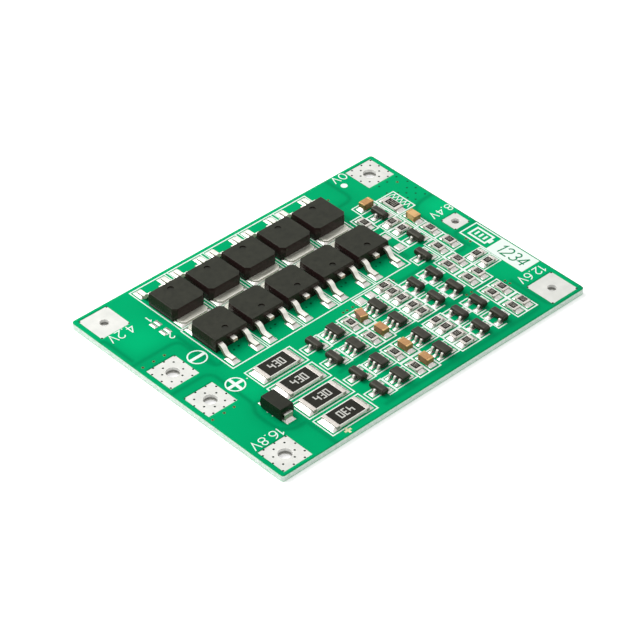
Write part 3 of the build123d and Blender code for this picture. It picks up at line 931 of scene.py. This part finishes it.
def fired_ceramic():
    """Ceramic whose tone follows the batch number of each body."""
    # The third colour goes on upright faces: painted shade on the sides of the bodies.
    brown, gold, painted_side_shade = (150, 105, 60), (206, 156, 98), (72, 40, 16)
    made = finish("fired_ceramic", brown, gold, 0.4, (0.4, 0.55), 0.1, 0.004, painted_wall_light=painted_side_shade)
    tree = made.node_tree
    batch = add(tree, "ShaderNodeAttribute", attribute_name="batch").outputs["Fac"]
    mottled = surface(tree).inputs["Base Color"].links[0].from_socket
    warm = blended(tree, batch, paint(168, 112, 92), paint(196, 146, 84))
    mixed = blended(tree, 0.5, mottled, warm)
    pale = step(tree, batch, 1.0, 2.0)
    surface(tree, Base_Color=blended(tree, pale, mixed, paint(222, 178, 116)))
    return made


capacitors.data.materials.append(fired_ceramic())


def dress(node, one):
    """A CAD node that keeps its shape and gets a finish."""
    nodes[node].data.materials.clear()
    nodes[node].data.materials.append(bpy.data.materials[one])


plain_nodes = {
    "pad_tin": ("terminal_",), "land_tin": ("_lands", "jumper_pads"), "alumina": ("_core", "_cores"),
    "resistor_glaze": ("_film", "_films"),
}
for name in nodes:
    for one, ends in plain_nodes.items():
        if name.endswith(ends) or name.startswith(ends):
            dress(name, one)
print("capacitor bodies:", len(body_boxes))


# %% [markdown]
# Solder wets a land to its edge and climbs the metal that stands on it. The pool over each land
# is one small height field: a thin film that rounds off at the rim, plus a height that falls
# away with the distance from the foot. The lands and feet come from the frame, so each pool
# finds its own foot.

# %% Solder pools
pool_cells = 9
film_height = 0.03
rim_round = 0.12
pool_inset = 0.03


def pools(lands, feet, climb, fade, film=film_height):
    """Height fields: (film + climb * exp(-distance from the foot / fade)) * (1 - exp(-rim / round))."""
    spread = (1 - np.cos(np.linspace(0, np.pi, pool_cells))) / 2
    u, v = np.meshgrid(spread, spread)
    low, high = lands[:, 0] + pool_inset, lands[:, 1] - pool_inset
    x = low[:, 0, None, None] + u * (high - low)[:, 0, None, None]
    y = low[:, 1, None, None] + v * (high - low)[:, 1, None, None]
    rim = np.minimum.reduce([
        x - low[:, 0, None, None], high[:, 0, None, None] - x,
        y - low[:, 1, None, None], high[:, 1, None, None] - y,
    ])
    near = np.full(x.shape, np.inf)
    for foot_low, foot_high in feet:
        dx = np.maximum(np.maximum(foot_low[0] - x, x - foot_high[0]), 0)
        dy = np.maximum(np.maximum(foot_low[1] - y, y - foot_high[1]), 0)
        near = np.minimum(near, np.hypot(dx, dy))
    rise = (film + climb * np.exp(-near / fade)) * (1 - np.exp(-rim / rim_round))
    base = lands[:, 1, 2][:, None, None]
    upper = np.stack([x, y, base + rise], -1).reshape(-1, 3)
    lower = np.stack([x, y, base - film_height * (rim > 0)], -1).reshape(-1, 3)
    one = grid_faces(pool_cells, pool_cells)
    moves = np.arange(len(lands))[:, None, None] * pool_cells**2
    faces = (one + moves).reshape(-1, 4)
    return np.concatenate([upper, lower]), np.concatenate([faces, faces[:, ::-1] + len(upper)])


def solder(name, land_node, foot_nodes, climb, fade, film=film_height):
    """The pools over one node of lands, climbing the solids of the foot nodes."""
    lands = separate_boxes(land_node)
    boxes = [separate_boxes(node) for node in foot_nodes]
    feet = np.concatenate(boxes) if boxes else np.empty((0, 2, 3))
    return piece(name, pools(lands, feet, climb, fade, film), ["solder_bright"])


frames = [name for name in nodes if name.endswith("_leadframe")]
chip_feet = ["chip_resistor_end_caps", "large_resistor_end_caps", "capacitor_end_caps"]
solder("solder_power_transistors", "fet_lands", frames, 0.26, 0.30)
solder("solder_balance_resistors", "balance_resistor_lands", ["balance_resistor_end_caps"], 0.42, 0.34)
solder("solder_diode", "diode_lands", ["diode_leads"], 0.40, 0.30)
solder("solder_legs", "leg_lands", ["three_leg_legs", "six_leg_legs"], 0.14, 0.12)
solder("solder_chips", "chip_lands", chip_feet, 0.34, 0.20)
solder("solder_empty_places", "spare_lands", [], 0.0, 1.0, film=0.06)
solder("solder_jumpers", "jumper_pads", [], 0.0, 1.0, film=0.09)


# %% [markdown]
# The white legend is ink on the mask, a few hundredths of a millimetre thick. A picture could
# carry it too, but ink with a height catches the light at its edge and stays sharp. Every mark is
# a ribbon: a path with a width, mitred at its corners, with a top and sides of its own. A path
# that ends where it starts is closed. Frames, rings, letters and even the filled field of the
# label are such ribbons.

# %% Ribbons of ink
ink_height = 0.02
ink_base = board_top
line_width = 0.2
largest_lift = 0.012
golden_share = 0.618


def ribbon(path, width, low, high):
    """A prism along a path. Each point moves sideways by half the width along the mean of its two
    normals, divided by the cosine of half the turn, so that the width stays even at corners."""
    path = np.array(path, float)
    closed = np.allclose(path[0], path[-1])
    path = path[:-1] if closed else path
    ahead = np.roll(path, -1, 0) - path
    ahead /= np.maximum(np.linalg.norm(ahead, axis=1, keepdims=True), 1e-9)
    behind = np.roll(ahead, 1, 0)
    if not closed:
        ahead[-1], behind[0] = behind[-1], ahead[0]
    normal_in = np.column_stack([-behind[:, 1], behind[:, 0]])
    normal_out = np.column_stack([-ahead[:, 1], ahead[:, 0]])
    mean = normal_in + normal_out
    mean /= np.maximum(np.linalg.norm(mean, axis=1, keepdims=True), 1e-9)
    cosine = np.maximum((mean * normal_out).sum(1, keepdims=True), 0.4)
    side = mean / cosine * width / 2
    count = len(path)
    rings = [(path - side, high), (path + side, high), (path + side, low), (path - side, low)]
    points = np.stack([np.column_stack([flat, np.full(count, z)]) for flat, z in rings], 1)
    i = np.arange(count if closed else count - 1) * 4
    j = (i + 4) % (count * 4)
    quads = [np.stack([i + a, j + a, j + b, i + b], -1) for a, b in ((0, 1), (1, 2), (2, 3), (3, 0))]
    if not closed:
        last = (count - 1) * 4
        quads.append(np.array([[0, 1, 2, 3], [last + 1, last, last + 3, last + 2]]))
    return points.reshape(-1, 3), np.concatenate(quads)


def ink(path, width=line_width, lift=0.0):
    """A ribbon of ink on the mask."""
    return ribbon(path, width, ink_base, ink_base + foil_step + ink_height + lift)


def layered(strokes):
    """Strokes joined into one shape, each a hair higher than the last, so that none share a face."""
    raised = []
    for number, (points, faces) in enumerate(strokes):
        upper = points[:, 2] > points[:, 2].mean()
        lift = largest_lift * (number * golden_share % 1)
        points = points + np.column_stack([np.zeros((len(points), 2)), upper * lift])
        raised.append((points, faces))
    return joined(raised)


def printed(name, strokes, skin="white_print"):
    """A piece of print from its strokes."""
    piece(name, layered(strokes), [skin], smooth=False)


def frame_of(x0, y0, x1, y1):
    """The corners of an upright frame."""
    return [(x0, y0), (x1, y0), (x1, y1), (x0, y1), (x0, y0)]


def bracket(mouth, back, high, low):
    """Three sides of an upright frame that is open at its mouth."""
    return [(mouth, high), (back, high), (back, low), (mouth, low)]


def ring(x, y, radius, steps=40):
    """Points round a circle."""
    turn = np.linspace(0, 2 * np.pi, steps + 1)
    return np.column_stack([x + radius * np.cos(turn), y + radius * np.sin(turn)])


def dot(x, y, radius):
    """A filled dot: a ring whose width reaches its centre."""
    return ink(ring(x, y, radius * 0.52, 20), radius * 0.96)


# %% [markdown]
# The legend frames each part, so that whoever places or mends it sees where it belongs. The
# frames were read off the levelled photograph. What repeats in the four channel rows is written
# once and moved by the row.

# %% Frames round the parts
channel_rows = (-5.3, -9.5, -14.3, -18.5)
row_frames = [
    (-6.0, -1.9, -1.55, 1.5), (2.3, 6.5, -1.55, 1.5), (-1.85, 0.1, -2.0, 2.0), (0.2, 2.2, -2.0, 2.0),
    (18.0, 19.95, -2.0, 2.0), (20.1, 22.05, -2.0, 2.0), (6.65, 10.4, 0.15, 2.05),
    (6.65, 10.4, -1.95, 0.02),
]
closed_frames = [(-19.6, 10.45, 15.2, 21.8), (-19.8, -1.05, 15.4, 10.15)]
closed_frames += [(-19.3, low, -10.7, low + 4.05) for low in (-6.95, -11.65, -16.35, -21.05)]
closed_frames += [(x0, y + y0, x1, y + y1) for y in channel_rows for x0, x1, y0, y1 in row_frames]
marks, pairs = [], []
for y in channel_rows:
    marks.append(bracket(-8.2, -10.15, y + 0.85, y - 0.85))
    marks.append([(-7.4, y + 1.65), (-6.15, y + 1.65), (-6.15, y - 1.7), (-7.6, y - 1.7)])
    for x in (10.5, 14.1):
        marks.append(bracket(x + 1.7, x, y + 1.8, y - 1.9))
        marks.append(bracket(x + 2.3, x + 3.45, y + 0.75, y - 0.75))
for x in (-12.7, -5.7, 1.3, 8.4):
    for side in (-1, 1):
        rear_x, front_x = x + side * 0.27, x - 0.16 + side * 0.18
        pairs += [[(rear_x, 10.45), (rear_x, 21.8)], [(front_x, -1.05), (front_x, 10.15)]]
closed_frames += [
    (3.0, -3.25, 10.45, -1.45), (22.1, -7.3, 25.8, -5.3), (22.1, -9.6, 25.8, -7.6),
    (20.1, -3.15, 22.0, 0.85), (22.3, -3.15, 24.25, 0.85), (22.3, 0.95, 24.3, 4.65),
    (18.3, 6.85, 22.1, 8.7), (18.3, 4.65, 22.1, 6.7), (22.4, 4.75, 24.35, 8.35),
    (18.2, 12.4, 22.1, 14.45), (22.3, 8.7, 25.95, 13.4), (15.95, 8.4, 18.0, 12.35),
    (15.95, 1.95, 18.0, 7.0),
]
for y in (10.45, 2.8):
    marks += [bracket(20.0, 18.2, y + 0.85, y - 0.85), bracket(21.0, 22.0, y + 1.7, y - 1.7)]
marks += [bracket(17.7, 15.9, -0.4, -2.15), bracket(18.6, 19.7, 0.4, -2.9)]
pair_width, zigzag_width, zigzag_steps = 0.17, 0.14, 11
zigzag_y = np.linspace(9.1, 13.1, zigzag_steps)
zigzag_x = 24.75 + 0.95 * (np.arange(zigzag_steps) % 2)
legend = [ink(frame_of(*corners)) for corners in closed_frames] + [ink(path) for path in marks]
legend += [ink(path, pair_width) for path in pairs]
legend.append(ink(np.column_stack([zigzag_x, zigzag_y]), zigzag_width))
printed("print_frames", legend)


# %% [markdown]
# The voltage marks are drawn with a plotter's single stroke, so each sign is one or two paths on
# a unit square: straight runs, and arcs given by centre, radii and angles. A string is laid out
# along a reading direction and stretched to the length that it has on the board.

# %% Signs drawn as strokes
def arc(x, y, across, up, start, stop, steps=14):
    """Points on an ellipse between two angles in degrees, counted anticlockwise from the right."""
    turn = np.radians(np.linspace(start, stop, steps))
    return np.column_stack([x + across * np.cos(turn), y + up * np.sin(turn)])


SIGNS = {
    "0": (0.62, [arc(0.31, 0.5, 0.31, 0.5, 0, 360, 28)]),
    "1": (0.30, [[(0.0, 0.78), (0.22, 1.0), (0.22, 0.0)]]),
    "2": (0.58, [np.vstack([arc(0.29, 0.71, 0.28, 0.29, 165, -35), [(0.0, 0.0), (0.58, 0.0)]])]),
    "3": (0.56, [arc(0.26, 0.76, 0.27, 0.24, 150, -90), arc(0.26, 0.26, 0.30, 0.26, 90, -150)]),
    "4": (0.62, [[(0.46, 1.0), (0.0, 0.3), (0.62, 0.3)], [(0.46, 1.0), (0.46, 0.0)]]),
    "6": (0.58, [arc(0.29, 0.31, 0.29, 0.31, 0, 360, 24), arc(0.52, 0.38, 0.52, 0.62, 172, 95)]),
    "8": (0.58, [arc(0.29, 0.75, 0.24, 0.25, 0, 360, 22), arc(0.29, 0.26, 0.29, 0.26, 0, 360, 24)]),
    ".": (0.12, [[(0.0, 0.0), (0.12, 0.0)]]),
    "V": (0.66, [[(0.0, 1.0), (0.33, 0.0), (0.66, 1.0)]]),
}
sign_gap = 0.22


def written(text, start, reading, up, height, length, width, lift=0.0, slant=0.0):
    """The ribbons of a string: each stroke point (a, b) goes to start + reading * a + up * b."""
    reading, up, start = (np.array(v, float) for v in (reading, up, start))
    natural = sum(SIGNS[sign][0] + sign_gap for sign in text) - sign_gap
    stretch, at, strokes = length / natural, 0.0, []
    for sign in text:
        advance, paths = SIGNS[sign]
        for flat in (np.array(path, float) for path in paths):
            a = (at + flat[:, 0]) * stretch + flat[:, 1] * slant * height
            way = start + a[:, None] * reading + (flat[:, 1] * height)[:, None] * up
            strokes.append(ink(way, width, lift))
        at += advance + sign_gap
    return strokes


to_left, to_front = (-1, 0), (0, -1)
voltages = [
    ("4.2V", (-24.2, 16.35), 1.7, 4.4), ("16.8V", (-23.7, -14.6), 1.55, 5.4),
    ("0V", (23.5, 22.2), 1.45, 2.6), ("8.4V", (29.8, 5.55), 1.4, 4.1),
    ("12.6V", (29.1, -14.3), 1.5, 5.0),
]
legend = []
for text, start, height, length in voltages:
    legend += written(text, start, to_left, to_front, height, length, 0.17)
legend += written("1", (-21.2, 16.0), to_left, to_front, 1.2, 0.4, 0.18)
legend += written("2", (-21.1, 11.0), to_left, to_front, 1.2, 0.7, 0.18)
sign_x, sign_ys, sign_radius, bar_width = -21.88, (4.25, -3.85), 1.42, 0.52
for y in sign_ys:
    legend.append(ink(ring(sign_x, y, sign_radius), 0.22))
    legend.append(ink([(sign_x - sign_radius, y), (sign_x + sign_radius, y)], bar_width))
legend.append(ink([(sign_x, y + sign_radius), (sign_x, y - sign_radius)], bar_width))
legend += [dot(21.5, 19.6, 0.55)]
legend += [dot(x, y, 0.12) for x, y in ((-19.8, -4.0), (-22.55, -11.25), (-22.55, -12.35))]
printed("print_signs", legend)


# %% [markdown]
# The label by the right edge has an outlined half and a filled half. The outlined half shows a
# battery in thick strokes, and the filled half the numbers of its cells in green. On the board
# the figures are mask left bare of ink. Here they are green strokes a hair above the field,
# which looks the same and needs no cutting.

# %% The label
label_x0, label_x1 = 26.1, 29.65
label_rear, label_split, label_front = -0.75, -6.35, -13.65
label_middle, label_line = (label_x0 + label_x1) / 2, 0.24
cell_rear, cell_front, cell_left, cell_right = -1.75, -5.05, 26.95, 28.95
field = [(label_middle, label_split), (label_middle, label_front)]
nub = [(label_middle, cell_front - 0.17), (label_middle, cell_front - 0.62)]
legend = [
    ink(frame_of(label_x0, label_split + label_line / 2, label_x1, label_rear), label_line),
    ink(field, label_x1 - label_x0 + label_line),
    ink(frame_of(cell_left, cell_front, cell_right, cell_rear), 0.34),
    ink(nub, 0.95),
]
for bar in (-2.55, -3.4, -4.25):
    legend.append(ink([(cell_left + 0.5, bar), (cell_right - 0.5, bar)], 0.36))
printed("print_label", legend)
numbers = written("1234", (26.85, -7.35), to_front, (1, 0), 2.1, 5.2, label_line, 0.012, 0.12)
printed("label_numbers", numbers, "green_print")


# %% [markdown]
# The large resistors carry their value as three squared figures on the black glaze, and the
# small ones carry figures too fine to read, in grey. Both are drawn by runs on a small grid and
# lie on the glaze, at heights read from the frame.

# %% Figures on the resistors
SQUARED = {
    "4": [[(0, 2), (0, 1), (1, 1)], [(1, 1.55), (1, 0)]],
    "3": [[(0, 2), (1, 2), (1, 0), (0, 0)], [(0.15, 1), (1, 1)]],
    "0": [[(0, 0), (1, 0), (1, 2), (0, 2), (0, 0)]],
    "1": [[(0.5, 0), (0.5, 2)]],
    "2": [[(0, 2), (1, 2), (1, 1), (0, 1), (0, 0), (1, 0)]],
}


def figures(text, centre, turn, height, pitch, width, low):
    """Squared figures centred on a point, turned by an angle, on a surface at the given height."""
    cosine, sine = math.cos(math.radians(turn)), math.sin(math.radians(turn))
    spin = np.array([(cosine, sine), (-sine, cosine)])
    strokes = []
    for number, sign in enumerate(text):
        corner = ((number - (len(text) - 1) / 2) * pitch - height * 0.22, -height / 2)
        for path in SQUARED[sign]:
            way = (np.array(path, float) * (height * 0.44, height / 2) + corner) @ spin + centre
            strokes.append(ribbon(way, width, low, low + ink_height))
    return strokes


large_figures, small_figures = [], []
for number in range(1, 5):
    low, high = millimetres(f"balance_resistor_{number}_film")
    turn = 180 if number == 4 else 0
    large_figures += figures("430", (low + high)[:2] / 2, turn, 1.3, 0.95, 0.2, high[2])
for number, (low, high) in enumerate(separate_boxes("chip_resistor_films")):
    size = high - low
    turn = 0 if size[0] > size[1] else 90
    text = ("102", "103", "203")[number % 3]
    small_figures += figures(text, (low + high)[:2] / 2, turn, 0.5, 0.32, 0.07, high[2])
low, high = millimetres("large_resistor_film")
small_figures += figures("012", (low + high)[:2] / 2, 90, 0.8, 0.5, 0.1, high[2])
printed("figures_balance_resistors", large_figures, "figure_print")
printed("figures_chip_resistors", small_figures, "grey_print")


# %% [markdown]
# Plated holes carry current between the two faces. Round the terminals they come up through
# the tin as dark wells, between the parts they keep a thin ring of metal, and under the mask
# they are only dimples. All three are the same turned profile with another rim, laid on the
# surface, as a real bore through each would cost many faces and show nothing more. The dark
# discs are painted shade for the depth of the open holes, and the deeper green discs over the
# tented holes are painted shade for their dimples.

# %% Plated holes
def turned(profile, centres, steps=16, closed=True):
    """A profile of radius and height spun round each centre; a closed one ends in a middle point."""
    turn = np.linspace(0, 2 * np.pi, steps, endpoint=False)
    radius, height = np.array(profile, float).T
    x = radius[:, None] * np.cos(turn)
    y = radius[:, None] * np.sin(turn)
    z = np.repeat(height[:, None], steps, 1)
    one = np.vstack([np.stack([x, y, z], -1).reshape(-1, 3), [(0, 0, height[-1])]])
    rings = len(profile)
    quads = grid_faces(rings, steps, wrap=True)
    last = (rings - 1) * steps + np.arange(steps)
    hub = np.stack([last, np.roll(last, -1), np.full(steps, rings * steps), np.full(steps, -1)], -1)
    faces = np.concatenate([quads, hub]) if closed else quads
    one = one if closed else one[:-1]
    centres = np.array(centres, float)
    shift = np.column_stack([centres, np.zeros(len(centres))])
    points = (one[None] + shift[:, None]).reshape(-1, 3)
    moved = faces[None] + (np.arange(len(centres)) * len(one))[:, None, None]
    return points, np.where(faces[None] >= 0, moved, -1).reshape(-1, 4)


def lattice(rows):
    """Points of a table of rows: a height y with the x of each hole in that row."""
    return [(x, y) for y, xs in rows for x in xs]


pad_holes = lattice([
    (6.7, (-28, -26, -24)), (5.75, (-29, -27, -25)), (4.75, (-28, -24)), (3.7, (-29, -25)),
    (2.7, (-28, -26, -24)), (1.75, (-29, -27, -25)),
    (-1.3, (-29.1, -27.1, -25.2)), (-2.3, (-28.2, -26.2, -24.1)), (-3.35, (-29.1, -25.0)),
    (-4.4, (-28.2, -24.1)), (-5.4, (-29.1, -27.1, -25.2)), (-6.3, (-28.2, -26.2, -24.2)),
    (-16.65, (-28.2, -26.2, -24.1)), (-17.5, (-29.1, -27.1, -25.1)), (-18.6, (-28.2, -24.1)),
    (-19.55, (-29.1, -25.1)), (-20.6, (-28.2, -26.05, -24.2)), (-21.6, (-29.1, -27.15, -25.1)),
    (21.6, (25.1, 27.1, 29.05)), (20.7, (24.2, 26.1, 28.1)), (19.7, (25.1, 29.0)),
    (18.7, (24.2, 28.1)), (17.7, (25.1, 27.1, 29.05)), (16.8, (26.1, 28.1)),
])
corner_inset = 0.12
for name in ("terminal_4v2", "terminal_12v6", "terminal_8v4"):
    low, high = millimetres(name)
    pad_holes += [
        (x, y) for x in (low[0] + corner_inset, high[0] - corner_inset)
        for y in (low[1] + corner_inset, high[1] - corner_inset)
    ]
ring_holes = lattice([
    (7.75, (-29, -27, -25)), (-7.3, (-29.2, -27.05, -25.2)), (-2.6, (0.2, 0.95, 2.05, 2.9)),
    (-1.75, (10.25,)), (-2.2, (10.7,)), (-11.9, (16.2, 17.2)), (-2.4, (25.7,)), (-3.3, (25.7,)),
    (-13.4, (22.7,)), (-14.3, (22.75,)), (18.6, (17.2,)), (14.75, (28.15,)),
])
tented_holes = lattice([
    (15.8, (25.3, 27, 29)), (13.8, (25, 29.4)), (12.7, (26.3, 28.2)),
    (11.8, (27.2, 29.2)), (10.8, (26.5, 28.2)), (9.7, (27.1, 29.1)),
    (1.95, (-16.93, -9.9, -2.87, 4.16, 11.19)), (2.15, (-15.87, -8.84, -1.81, 5.22, 12.25)),
])
pad_level = board_top + 0.003
coat_level = board_top + foil_step + 0.003
plated = [
    ("plated_wells", [(0.165, 0), (0.14, 0.001)], pad_level, pad_holes, "via_well", "tin"),
    ("plated_rings", [(0.22, 0), (0.19, 0.012), (0.15, 0.010), (0.13, 0)], coat_level, ring_holes,
     "via_ring", "tin"),
    ("ring_wells", [(0.14, 0.003), (0.1, 0.004)], coat_level, ring_holes, "via_well", "tin"),
    ("tented_holes", [(0.18, 0), (0.11, 0.001)], coat_level, tented_holes, "tented", "mask"),
]
for name, profile, level, holes, skin, slot in plated:
    piece(name, turned(np.add(profile, (0, level)), holes), [skin])


# %% [markdown]
# The wire holes are lined with tin, which rounds their rims and hides the flats of the solid's
# bore. Little light gets past the rim, so the lining is pale at the top and dark half way down.

# %% Linings of the wire holes
bore_radius = {"terminal_4v2": 0.7, "terminal_12v6": 0.7, "terminal_8v4": 0.65}
wire_radius = 1.05
lining_skin = 0.02
lining_round = 0.14
lining_steps = 40
dusk_from, dusk_to = 0.25, 0.62
dawn_from, dawn_to = 0.66, 0.85


def lining():
    """Tin painted with light and shade down the hole: pale at the top, dark from half way down,
    and lighter grey near the end.
    """
    pale_tin = ((240, 240, 235), (250, 250, 246), 0.6, (0.4, 0.5), 0.2, 0.003)
    tree = finish("hole_lining", *pale_tin, metallic=0.2).node_tree
    height = arithmetic(tree, "DIVIDE", upward(tree, in_object(tree)), MM)
    sunk = arithmetic(tree, "SUBTRACT", board_top, height)
    pale = surface(tree).inputs["Base Color"].links[0].from_socket
    dark = blended(tree, step(tree, sunk, dusk_from, dusk_to), pale, paint(106, 106, 100))
    grey = blended(tree, step(tree, sunk, dawn_from, dawn_to), dark, paint(200, 200, 194))
    surface(tree, Base_Color=grey)


linings = []
bend = np.linspace(0, np.pi / 2, 5)
lip_height = board_top + 0.004 - lining_round * (1 - np.cos(bend))
depths = np.linspace(board_top - lining_round, 0.01, 8)[1:]
for name in sorted(nodes):
    if name.startswith("terminal_"):
        low, high = millimetres(name)
        inner = bore_radius.get(name, wire_radius) - lining_skin
        lip_radius = inner + lining_round * (1 - np.sin(bend))
        radii = np.concatenate([lip_radius, np.full(len(depths), inner)])
        profile = np.column_stack([radii, np.concatenate([lip_height, depths])])
        linings.append(turned(profile, [(low + high)[:2] / 2], lining_steps, closed=False))
lining()
piece("hole_linings", joined(linings), ["hole_lining"])


# %% [markdown]
# A small plus of bare tinned foil by the front edge serves the placing machine as its mark. Two
# crossed ribbons in a creamy tin are enough for it.

# %% The placing mark
mark_x, mark_y, mark_arm, mark_width = -17.0, -21.6, 0.6, 0.36
across = ink([(mark_x - mark_arm, mark_y), (mark_x + mark_arm, mark_y)], mark_width)
along = ink([(mark_x, mark_y - mark_arm), (mark_x, mark_y + mark_arm)], mark_width)
printed("placing_mark", [across, along], "cream_tin")
